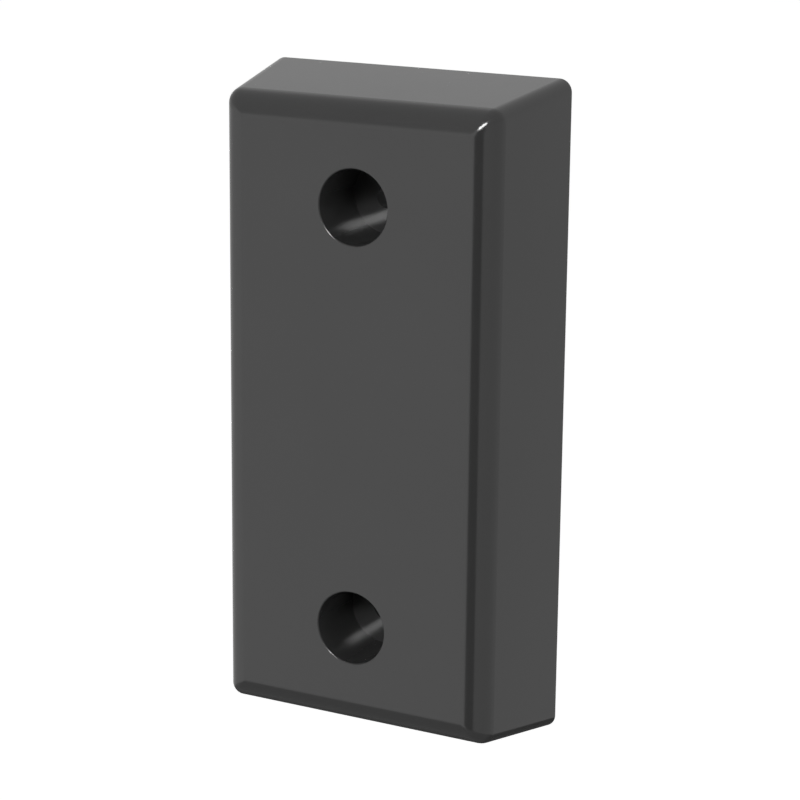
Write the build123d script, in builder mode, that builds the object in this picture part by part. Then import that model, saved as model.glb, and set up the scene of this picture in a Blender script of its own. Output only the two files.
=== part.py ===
from build123d import *
import os
from math import cos, radians, tan

# Dock bumper: one solid block of moulded rubber that bolts flat to the face of a loading dock
# and takes the push of a reversing truck. All four sides lean in from the back to the front, so
# the block leaves its mould and has no square edge to catch. Two bolts hold it. Each bolt head
# sits deep in a round pocket, out of reach of the truck.
# Lengths are millimetres and angles are degrees. +Z is up the wall and the front faces -Y.
# The origin is the middle of the flat back face, which lies in the plane of the wall.

# The block: its back face, its depth from the wall to the front, and how far its sides lean
height = 500.0
width = 250.0
depth = 100.0
draft_angle = 8.5

# The rounds: around the front face, along the four leaning corners, and at each pocket's mouth
front_round = 20.0
corner_round = 10.0
mouth_round = 1.0

# The two bolt holes, each this far from its end of the back face
bolt_end_distance = 90.0
bolt_hole_diameter = 18.0
pocket_diameter = 56.0
pocket_depth = 53.0

bolt_spacing = height - 2 * bolt_end_distance
lean = radians(draft_angle)

# The smaller of the two large rounds goes on all round, by growing a smaller core by that much.
# A leaning side then moves out along the wall by a little more than the growth.
growth = min(front_round, corner_round)
side_growth = growth / cos(lean)

# The core starts behind the wall, where its back grows too, and what is there is cut off later
lead_in = 2 * growth
lead_in_spread = lead_in * tan(lean)
core_start = Plane.XZ.offset(-lead_in)
core_width = width + 2 * (lead_in_spread - side_growth)
core_height = height + 2 * (lead_in_spread - side_growth)


def edges_into_depth(part):
    """The edges at the four corners, which run from the back of the block to its front."""
    return part.edges().filter_by(lambda edge: abs(edge.tangent_at(0.5).Y) > 0.5)


def front_face(part):
    return part.faces().sort_by(Axis.Y)[0]


with BuildPart() as bumper_block:
    # The core of the block, square at first, and then with its four sides leaning in
    with BuildSketch(core_start):
        Rectangle(core_width, core_height)
    extrude(amount=lead_in + depth - growth)
    sides = bumper_block.faces().filter_by(Axis.Y, reverse=True)
    draft(sides, core_start, draft_angle)

    # The larger round is the growth and a fillet of the core, one around the other
    if front_round > growth:
        fillet(front_face(bumper_block).edges(), front_round - growth)
    if corner_round > growth:
        fillet(edges_into_depth(bumper_block), corner_round - growth)

    # The core grows to its full size, with every outer edge rounded, and is cut flat at the wall
    offset(amount=growth, kind=Kind.ARC)
    split(bisect_by=Plane.XZ, keep=Keep.TOP)

    # Each bolt hole goes right through, with a pocket for the bolt head at the front
    with Locations(Plane.XZ.offset(depth)):
        with GridLocations(0, bolt_spacing, 1, 2):
            CounterBoreHole(bolt_hole_diameter / 2, pocket_diameter / 2, pocket_depth)

    # The mouth of each pocket has a small round, left by the pin that shapes it in the mould
    mouths = front_face(bumper_block).edges().filter_by(GeomType.CIRCLE)
    fillet(mouths, mouth_round)

bumper_block.part.label = "bumper_block"

os.makedirs("parts", exist_ok=True)
export_step(bumper_block.part, "parts/bumper_block.step")

print("solids:", len(bumper_block.part.solids()), "volume:", round(bumper_block.part.volume))
print("bolt spacing:", bolt_spacing)
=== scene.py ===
# %% [markdown]
# Dock bumper, dressed and lit
#
# A dock bumper is a thick block of moulded rubber. It bolts to the face of a loading dock and takes
# the push of a truck that reverses against it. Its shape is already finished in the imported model.
# What is left to do here is what the eye needs: the rubber's finish, the studio and the camera.
# Every length is in metres. +Z is up the wall and the front of the block faces -Y.

import bmesh
import bpy
from math import cos, degrees, radians, sin
from mathutils import Matrix, Vector


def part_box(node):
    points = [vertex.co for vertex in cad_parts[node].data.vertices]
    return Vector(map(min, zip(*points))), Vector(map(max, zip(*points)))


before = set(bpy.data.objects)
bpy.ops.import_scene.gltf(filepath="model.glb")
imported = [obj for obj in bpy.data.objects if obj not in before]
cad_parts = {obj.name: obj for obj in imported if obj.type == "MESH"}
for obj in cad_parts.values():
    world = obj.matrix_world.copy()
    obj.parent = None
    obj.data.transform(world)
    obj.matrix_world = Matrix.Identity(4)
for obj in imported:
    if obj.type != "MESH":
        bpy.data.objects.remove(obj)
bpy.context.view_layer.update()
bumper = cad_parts["bumper_block"]
block_low, block_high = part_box("bumper_block")
block_size = block_high - block_low
print("block:", [round(side, 3) for side in block_size], "faces:", len(bumper.data.polygons))

# %% [markdown]
# Where the camera stands
#
# A photograph fixes where its camera stood. The block's long edges meet at three vanishing points,
# and those give the direction of view. A camera could be placed by three coordinates and three
# turns. Here its direction is told as a photographer would tell it: how far round the block it
# stands, how high, and how much it is rolled. That is easier to read and to change. The same
# helper tells later where the lamp hangs.

# %% Camera direction
camera_round = radians(27.96)
camera_height = radians(14.67)
camera_roll = radians(0.58)


def directions_at(azimuth, elevation):
    """From the block towards a place around it, and then right and up as seen from there."""
    towards = Vector((
        sin(azimuth) * cos(elevation),
        -cos(azimuth) * cos(elevation),
        sin(elevation),
    ))
    right = Vector((cos(azimuth), sin(azimuth), 0))
    return towards, right, towards.cross(right)


towards_camera, level_right, level_up = directions_at(camera_round, camera_height)
camera_right = cos(camera_roll) * level_right + sin(camera_roll) * level_up
camera_up = towards_camera.cross(camera_right)
print("towards the camera:", [round(part, 3) for part in towards_camera])

# %% [markdown]
# The camera
#
# How fast the block's edges draw together gives the camera's distance: the stronger the
# perspective, the nearer the camera. The block's size in the picture then gives the lens.
# The camera could look straight at the block's middle, but then the block would sit in the wrong
# part of the picture. So it looks a little past the middle of the front face.

# %% Camera
camera_distance = 1.878
focal_length_mm = 115.0
sensor_width_mm = 36.0

# How far past the middle of the front face the camera looks, to its own right and up
aim_right = 0.0355
aim_up = 0.0165

block_middle = (block_low + block_high) / 2
front_middle = Vector((block_middle.x, block_low.y, block_middle.z))
aim = front_middle + aim_right * camera_right + aim_up * camera_up
camera_place = Matrix.Translation(aim + camera_distance * towards_camera)
camera_axes = Matrix((camera_right, camera_up, towards_camera)).transposed()

camera_data = bpy.data.cameras.new("photo_camera")
camera_data.lens = focal_length_mm
camera_data.sensor_width = sensor_width_mm
camera = bpy.data.objects.new("photo_camera", camera_data)
camera.matrix_world = camera_place @ camera_axes.to_4x4()
bpy.context.scene.collection.objects.link(camera)
bpy.context.scene.camera = camera
print("camera at", [round(part, 3) for part in camera.matrix_world.translation])

# %% [markdown]
# Moulded rubber
#
# The block is black rubber, pressed in a polished steel mould. Up close such rubber isn't one flat
# black with one flat shine, and the next three steps give it a tone, a gloss and a grain. All could
# be painted as pictures, but noise needs no picture and has no seams. A finish in Blender is a
# graph of nodes, so the helper adds one node, sets its values and joins its inputs. The noise will
# read Object coordinates, which are metres on the block, so that every size is a real one.

# %% Rubber material
def add_node(tree, kind, inputs=None, **settings):
    """Adds a node. An input is a plain value, or another node's output to join to it."""
    node = tree.nodes.new(kind)
    for name, value in settings.items():
        setattr(node, name, value)
    for name, value in (inputs or {}).items():
        if isinstance(value, bpy.types.NodeSocket):
            tree.links.new(value, node.inputs[name])
        else:
            node.inputs[name].default_value = value
    return node


rubber = bpy.data.materials.new("moulded_rubber_finish")
rubber.use_nodes = True
rubber_tree = rubber.node_tree
rubber_shader = rubber_tree.nodes["Principled BSDF"]
rubber_place = add_node(rubber_tree, "ShaderNodeTexCoord").outputs["Object"]
bumper.material_slots[0].material = rubber
print("the block's finish:", bumper.material_slots[0].material.name)

# %% [markdown]
# The rubber's tone
#
# The black drifts a little as oils rise to the rubber's skin. One flat colour could do from far
# off, but up close it looks like paint. So clouds of noise, about as wide as a hand, make the black
# a little lighter and darker. They are faint, because the real surface looks even from a step away.
# A noise's scale is one over the size of its clouds.

# %% Rubber tone
rubber_tone = 0.044
tone_drift = 0.003
cloud_size = 0.09
cloud_detail = 3


def noise(tree, place, size, detail):
    """Noise from 0 to 1, in patches of about this size, with this many finer layers."""
    inputs = {"Vector": place, "Scale": 1 / size, "Detail": detail}
    return add_node(tree, "ShaderNodeTexNoise", inputs).outputs["Fac"]


def spread(tree, value, low, high):
    """Stretches a value that runs from 0 to 1 so that it runs from low to high."""
    inputs = {"Value": value, "To Min": low, "To Max": high}
    return add_node(tree, "ShaderNodeMapRange", inputs).outputs["Result"]


clouds = noise(rubber_tree, rubber_place, cloud_size, cloud_detail)
tone = spread(rubber_tree, clouds, rubber_tone - tone_drift, rubber_tone + tone_drift)
grey = {"Red": tone, "Green": tone, "Blue": tone}
colour = add_node(rubber_tree, "ShaderNodeCombineColor", grey).outputs["Color"]
rubber_tree.links.new(colour, rubber_shader.inputs["Base Color"])
print("rubber tone:", rubber_tone, "give or take", tone_drift)

# %% [markdown]
# The rubber's gloss
#
# The polished mould leaves a satin gloss on the rubber. It mirrors a lamp, but not the lamp's sharp
# edges. It changes a little from place to place, where the rubber left the steel sooner or later.
# One even roughness could do, but it would look like plastic. So a second noise, in patches about
# as wide as a thumb, moves the roughness up and down. The index of refraction is that of rubber.
# It is the same all over, so it goes straight onto the shader.

# %% Rubber gloss
gloss_roughness = 0.17
roughness_drift = 0.03
patch_size = 0.035
patch_detail = 4
rubber_ior = 1.5

glossiest = gloss_roughness - roughness_drift
dullest = gloss_roughness + roughness_drift
patches = noise(rubber_tree, rubber_place, patch_size, patch_detail)
roughness = spread(rubber_tree, patches, glossiest, dullest)
rubber_tree.links.new(roughness, rubber_shader.inputs["Roughness"])
rubber_shader.inputs["IOR"].default_value = rubber_ior
print("rubber roughness:", round(glossiest, 3), "to", round(dullest, 3))

# %% [markdown]
# The rubber's grain
#
# The skin has a grain finer than a millimetre, and the broad faces wave by less than the breadth of
# a hair, because rubber shrinks as it cools. Both could be made as real bumps in the mesh. They are
# far too shallow to change the outline, so a Bump node tilts the light instead, and the mesh stays
# as it is. Its distance is 1, which makes each height below a height in metres.

# %% Rubber grain
grain_size = 0.0007
grain_height = 0.000004
grain_detail = 2

wave_size = 0.05
wave_height = 0.00002
wave_detail = 1

bump_distance = 1.0


def calculate(tree, operation, first, second=0.0):
    """One step of arithmetic on one or two values, each of which may be a node's output."""
    return add_node(tree, "ShaderNodeMath", {0: first, 1: second}, operation=operation).outputs[0]


grain_noise = noise(rubber_tree, rubber_place, grain_size, grain_detail)
wave_noise = noise(rubber_tree, rubber_place, wave_size, wave_detail)
grain = calculate(rubber_tree, "MULTIPLY", grain_noise, grain_height)
wave = calculate(rubber_tree, "MULTIPLY", wave_noise, wave_height)
relief = calculate(rubber_tree, "ADD", grain, wave)
bump = add_node(rubber_tree, "ShaderNodeBump", {"Height": relief, "Distance": bump_distance})
rubber_tree.links.new(bump.outputs["Normal"], rubber_shader.inputs["Normal"])
print("rubber:", len(rubber_tree.nodes), "nodes")

# %% [markdown]
# The floor
#
# The photograph is a bright cut-out: the block hangs in clean white, as it hangs on its wall. So
# the floor lies far below it. The block's shadow falls on the floor, but from so high up the lamp's
# width has spread it to nothing. White could come from more light, but that would fall on the
# black rubber too. Instead the floor is a pale matt surface that glows a little, and only for the
# rays that show it, straight from the camera or by a mirror image. Light Path tells those apart.

# %% Floor finish
floor_tone = 0.80
floor_glow = 0.90
floor_roughness = 1.0
floor_specular = 0.0
white = (1, 1, 1, 1)


def seen_directly(tree):
    """1 for rays from the camera, and for reflected or refracted ones, and 0 for soft light."""
    path = add_node(tree, "ShaderNodeLightPath").outputs
    seen = calculate(tree, "ADD", path["Is Camera Ray"], path["Is Glossy Ray"])
    seen = calculate(tree, "ADD", seen, path["Is Transmission Ray"])
    return calculate(tree, "MINIMUM", seen, 1.0)


floor_finish = bpy.data.materials.new("pale_floor")
floor_finish.use_nodes = True
floor_tree = floor_finish.node_tree
floor_shader = floor_tree.nodes["Principled BSDF"]
floor_shader.inputs["Base Color"].default_value = (floor_tone, floor_tone, floor_tone, 1)
floor_shader.inputs["Roughness"].default_value = floor_roughness
floor_shader.inputs["Specular IOR Level"].default_value = floor_specular
floor_shader.inputs["Emission Color"].default_value = white
glow = calculate(floor_tree, "MULTIPLY", seen_directly(floor_tree), floor_glow)
floor_tree.links.new(glow, floor_shader.inputs["Emission Strength"])
print("floor tone:", floor_tone, "and glow:", floor_glow)

# %% [markdown]
# The floor's shape
#
# A studio floor often sweeps up into a backdrop. Under a white world a flat one looks the same, so
# this floor is one wide flat face. Everything in the studio is made by one helper.

# %% Floor
floor_drop = 10.0
floor_size = 200.0


def studio_piece(name, shape, material):
    """Makes a piece of the studio from a bmesh shape. It isn't part of the block."""
    mesh = bpy.data.meshes.new(name)
    shape.to_mesh(mesh)
    shape.free()
    mesh.materials.append(material)
    piece = bpy.data.objects.new(name, mesh)
    bpy.context.scene.collection.objects.link(piece)
    return piece


floor_height = block_low.z - floor_drop
floor_place = Matrix.Translation((0, 0, floor_height))
floor_shape = bmesh.new()
bmesh.ops.create_grid(floor_shape, size=floor_size / 2, matrix=floor_place)
studio_piece("floor", floor_shape, floor_finish)
print("floor at z =", round(floor_height, 3))

# %% [markdown]
# The white world
#
# Past the edge of the floor the camera sees the world, and it has to be white as well. A backdrop
# could stand there, but a world needs no shape and is white from every side. Its strength is 1 for
# the rays that also see the floor's glow, and 0 for soft light. What the block itself mirrors is
# the light tent of the next steps, which stands between it and this white.

# %% World
world = bpy.data.worlds.new("white_background")
world.use_nodes = True
background = world.node_tree.nodes["Background"]
background.inputs["Color"].default_value = white
world.node_tree.links.new(seen_directly(world.node_tree), background.inputs["Strength"])
bpy.context.scene.world = world
print("world:", world.name)

# %% [markdown]
# The light tent
#
# Dark, fairly glossy rubber shows two things: a little light that it scatters, and a faint mirror
# image of the studio around it. So the studio matters more than the rubber's own colour. It could
# be built from lamps and screens. Here it is a round tent of glowing cloth, the way that small
# shiny products are photographed, and its walls, panel and curtain are brightnesses on that cloth.
# The tent is wide, so that every point of the block sees nearly the same picture. The brightness
# is told by direction alone, as an azimuth and an elevation in degrees. Azimuth 0 is straight ahead
# of the front face, and it grows to the right.

# %% Directions on the tent
tent_cloth = bpy.data.materials.new("tent_cloth")
tent_cloth.use_nodes = True
tent_tree = tent_cloth.node_tree

cloth_place = add_node(tent_tree, "ShaderNodeTexCoord").outputs["Object"]
unit_length = add_node(tent_tree, "ShaderNodeVectorMath", {0: cloth_place}, operation="NORMALIZE")
direction = unit_length.outputs["Vector"]
part_along = add_node(tent_tree, "ShaderNodeSeparateXYZ", {"Vector": direction}).outputs

degrees_per_radian = degrees(1)
forward = calculate(tent_tree, "MULTIPLY", part_along["Y"], -1.0)
turn = calculate(tent_tree, "ARCTAN2", part_along["X"], forward)
rise = calculate(tent_tree, "ARCSINE", part_along["Z"])
azimuth = calculate(tent_tree, "MULTIPLY", turn, degrees_per_radian)
elevation = calculate(tent_tree, "MULTIPLY", rise, degrees_per_radian)
print("tent directions:", len(tent_tree.nodes), "nodes")

# %% [markdown]
# The tent's walls
#
# The walls are mid-grey and darker towards the top, which shows in the round along the top of the
# front face. Each could be a mesh of its own. Here each is an area of directions, cut out by steps
# that are 0 on one side of an edge and 1 on the other. The steps are soft, because a hard edge
# would show as a line in the rubber. A new level is painted over the old one where the area is 1.

# %% Walls
wall_level = 0.59
upper_wall_level = 0.49
upper_wall_start = 12.0
edge_softness = 1.5


def step_up(tree, value, edge, softness):
    """0 below an edge and 1 above it, with a smooth step between."""
    inputs = {"Value": value, "From Min": edge - softness, "From Max": edge + softness}
    step = add_node(tree, "ShaderNodeMapRange", inputs, interpolation_type="SMOOTHSTEP")
    return step.outputs["Result"]


def paint(tree, level, area, new_level):
    """Replaces a brightness by a new one where the area is 1."""
    inputs = {"Factor": area, "A": level, "B": new_level}
    return add_node(tree, "ShaderNodeMix", inputs).outputs["Result"]


in_upper_wall = step_up(tent_tree, elevation, upper_wall_start, edge_softness)
level = paint(tent_tree, wall_level, in_upper_wall, upper_wall_level)
print("walls:", wall_level, "and", upper_wall_level, "above", upper_wall_start, "degrees")

# %% [markdown]
# The back wall
#
# A brighter wall stands high up behind the block, and the top of the block mirrors it. It could be
# cut out by azimuth and elevation too, but it is wide and soft, and close to straight up an azimuth
# swings wildly. So it is told by how far back, and how far up, a direction points: each is a share
# from 0 to 1.

# %% Back wall
back_wall_level = 0.74
back_wall_start, back_wall_softness = 0.6, 0.3
back_wall_foot, back_wall_foot_softness = 0.1, 0.35


def inside(tree, *steps):
    """1 where every step is 1."""
    area = steps[0]
    for step in steps[1:]:
        area = calculate(tree, "MULTIPLY", area, step)
    return area


far_back = step_up(tent_tree, part_along["Y"], back_wall_start, back_wall_softness)
high_up = step_up(tent_tree, part_along["Z"], back_wall_foot, back_wall_foot_softness)
back_wall = inside(tent_tree, far_back, high_up)
level = paint(tent_tree, level, back_wall, back_wall_level)
print("back wall:", back_wall_level)

# %% [markdown]
# The tent's floor
#
# Little light comes up from below: the floor is dim, and darker from straight below the block
# towards the back wall. The round along the bottom of the front face shows it. A lamp could be kept
# off the floor for this, but the floor only has to look dark in the rubber, so it is painted too.

# %% Tent floor
dim_floor_level = 0.25
dark_floor_level = 0.08
floor_edge = -31.0

# Where a direction points back by this share, the floor is halfway from dim to dark
dark_floor_start, dark_floor_softness = 0.25, 0.25


def outside(tree, step):
    """1 where a step is 0."""
    return calculate(tree, "SUBTRACT", 1.0, step)


above_floor = step_up(tent_tree, elevation, floor_edge, edge_softness)
behind = step_up(tent_tree, part_along["Y"], dark_floor_start, dark_floor_softness)
floor_level = paint(tent_tree, dim_floor_level, behind, dark_floor_level)
level = paint(tent_tree, level, outside(tent_tree, above_floor), floor_level)
print("floor in the tent:", dim_floor_level, "to", dark_floor_level)

# %% [markdown]
# The white panel and the black curtain
#
# One big white panel stands in front of the block and to its left, and a black curtain hangs to the
# right of it. Both reach from the floor to the upper walls. The front face mirrors the panel
# evenly, and the curtain draws the dark line along the right edge of that face. That line could be
# painted on the rubber, but a mirror image moves with the view, and paint doesn't.

# %% Panel and curtain
panel_level = 1.035
curtain_level = 0.0
panel_left, panel_left_softness = -70.0, 30.0
panel_right = -2.0
curtain_right = 34.0

right_of_left_edge = step_up(tent_tree, azimuth, panel_left, panel_left_softness)
right_of_panel = step_up(tent_tree, azimuth, panel_right, edge_softness)
right_of_curtain = step_up(tent_tree, azimuth, curtain_right, edge_softness)
left_of_panel_right = outside(tent_tree, right_of_panel)
left_of_curtain_right = outside(tent_tree, right_of_curtain)
below_upper_wall = outside(tent_tree, in_upper_wall)

panel = inside(
    tent_tree, right_of_left_edge, left_of_panel_right, below_upper_wall, above_floor
)
curtain = inside(
    tent_tree, right_of_panel, left_of_curtain_right, below_upper_wall, above_floor
)
level = paint(tent_tree, level, panel, panel_level)
level = paint(tent_tree, level, curtain, curtain_level)
print("panel to azimuth", panel_right, "and curtain to azimuth", curtain_right)

# %% [markdown]
# Where the lamp hangs
#
# The tent lights the block from all directions at once. One lamp, high in front of the block and a
# little to its right, adds the shadows inside the bolt pockets. It is a long softbox, hung askew.
# It could be turned until the shadows look right. Here its direction is two angles, told in the
# same way as the camera's, because two things need it: the lamp's light and its mirror image.

# %% Lamp direction
key_azimuth = radians(10)
key_elevation = radians(29)
softbox_tilt = radians(39)

key_from, beside_key, above_key = directions_at(key_azimuth, key_elevation)
softbox_along = cos(softbox_tilt) * beside_key + sin(softbox_tilt) * above_key
softbox_across = cos(softbox_tilt) * above_key - sin(softbox_tilt) * beside_key
print("light comes from", [round(part, 3) for part in key_from])

# %% [markdown]
# The lamp's mirror image
#
# A lamp lights the block and is also mirrored in it. One glowing sheet could do both, but then its
# light would be full of noise. So its mirror image is painted on the tent, for mirrored rays only.
# It makes the slanting bright spot on the front corner of the block, and the streak in each pocket,
# where it is mirrored twice. After a third time it would only cloud the dark low in the pockets, so
# it isn't followed that far. Glossy Depth counts how many times a ray has been mirrored.

# %% Softbox
softbox_level = 28.0
softbox_length = radians(31)
softbox_width = radians(12)
softbox_edge_softness = 0.03

# The softbox is where two bands cross. They cross again on the far side of the tent, and only the
# crossing with more than this share of its direction towards the lamp counts.
lamp_side_share = 0.5

# Two mirrorings lie below this limit, and three above it
mirroring_limit = 2.5


def share_along(tree, direction, axis):
    """The part of a direction that lies along an axis."""
    inputs = {0: direction, 1: tuple(axis)}
    return add_node(tree, "ShaderNodeVectorMath", inputs, operation="DOT_PRODUCT").outputs["Value"]


towards_lamp = share_along(tent_tree, direction, key_from)
softbox_steps = [step_up(tent_tree, towards_lamp, lamp_side_share, softbox_edge_softness)]
for axis, side in ((softbox_along, softbox_length), (softbox_across, softbox_width)):
    off_centre = calculate(tent_tree, "ABSOLUTE", share_along(tent_tree, direction, axis))
    past_edge = step_up(tent_tree, off_centre, sin(side / 2), softbox_edge_softness)
    softbox_steps.append(outside(tent_tree, past_edge))
softbox_area = inside(tent_tree, *softbox_steps)

path = add_node(tent_tree, "ShaderNodeLightPath").outputs
once_or_twice = calculate(tent_tree, "LESS_THAN", path["Glossy Depth"], mirroring_limit)
softbox = inside(tent_tree, softbox_area, path["Is Glossy Ray"], once_or_twice)
level = paint(tent_tree, level, softbox, softbox_level)
print("softbox:", round(degrees(softbox_length)), "by", round(degrees(softbox_width)), "degrees")

# %% [markdown]
# The tent itself
#
# The tent could be a box or a dome. Its picture is told by direction alone, so a round ball of
# small faces does as well. The cloth only glows, so an Emission shader is its whole finish. Blender
# can also aim rays at whatever glows, which finds small lamps sooner. That is turned off here: the
# tent is all around, so every ray that leaves the block meets it anyway, and the softbox must stay
# out of the soft light. The tent is hidden from the camera, so that the picture shows the white
# background behind it, and it lets the lamp's light through.

# %% Tent
tent_radius = 10.0
tent_subdivisions = 4

cloth_glow = add_node(tent_tree, "ShaderNodeEmission", {"Strength": level}).outputs["Emission"]
cloth_surface = tent_tree.nodes["Material Output"].inputs["Surface"]
tent_tree.links.new(cloth_glow, cloth_surface)
tent_cloth.cycles.emission_sampling = "NONE"

tent_shape = bmesh.new()
bmesh.ops.create_icosphere(tent_shape, subdivisions=tent_subdivisions, radius=tent_radius)
tent = studio_piece("light_tent", tent_shape, tent_cloth)
tent.visible_camera = False
tent.visible_transmission = False
tent.visible_shadow = False
print("tent:", len(tent.data.polygons), "faces and", len(tent_tree.nodes), "nodes")

# %% [markdown]
# The lamp
#
# An area lamp close by would light the top of the block more than its foot. A Sun lamp shines
# evenly from one direction, as a big lamp far away does. Its angle sets how soft the shadows inside
# the pockets are. It is hidden from mirrored rays, which already see the softbox on the tent.

# %% Lamp
key_strength = 0.86
key_spread = radians(9)

key_data = bpy.data.lights.new("key_lamp", "SUN")
key_data.energy = key_strength
key_data.angle = key_spread
key_lamp = bpy.data.objects.new("key_lamp", key_data)
key_lamp.rotation_mode = "QUATERNION"
key_lamp.rotation_quaternion = key_from.to_track_quat("Z", "Y")
key_lamp.visible_glossy = False
bpy.context.scene.collection.objects.link(key_lamp)
print("lamp:", key_strength, "with a spread of", round(degrees(key_spread)), "degrees")

# %% [markdown]
# The last steps
#
# Blender can bend bright tones as film does. The Standard view leaves them as they are, so white
# stays white and the rubber keeps its tone.

bpy.context.scene.view_settings.view_transform = "Standard"
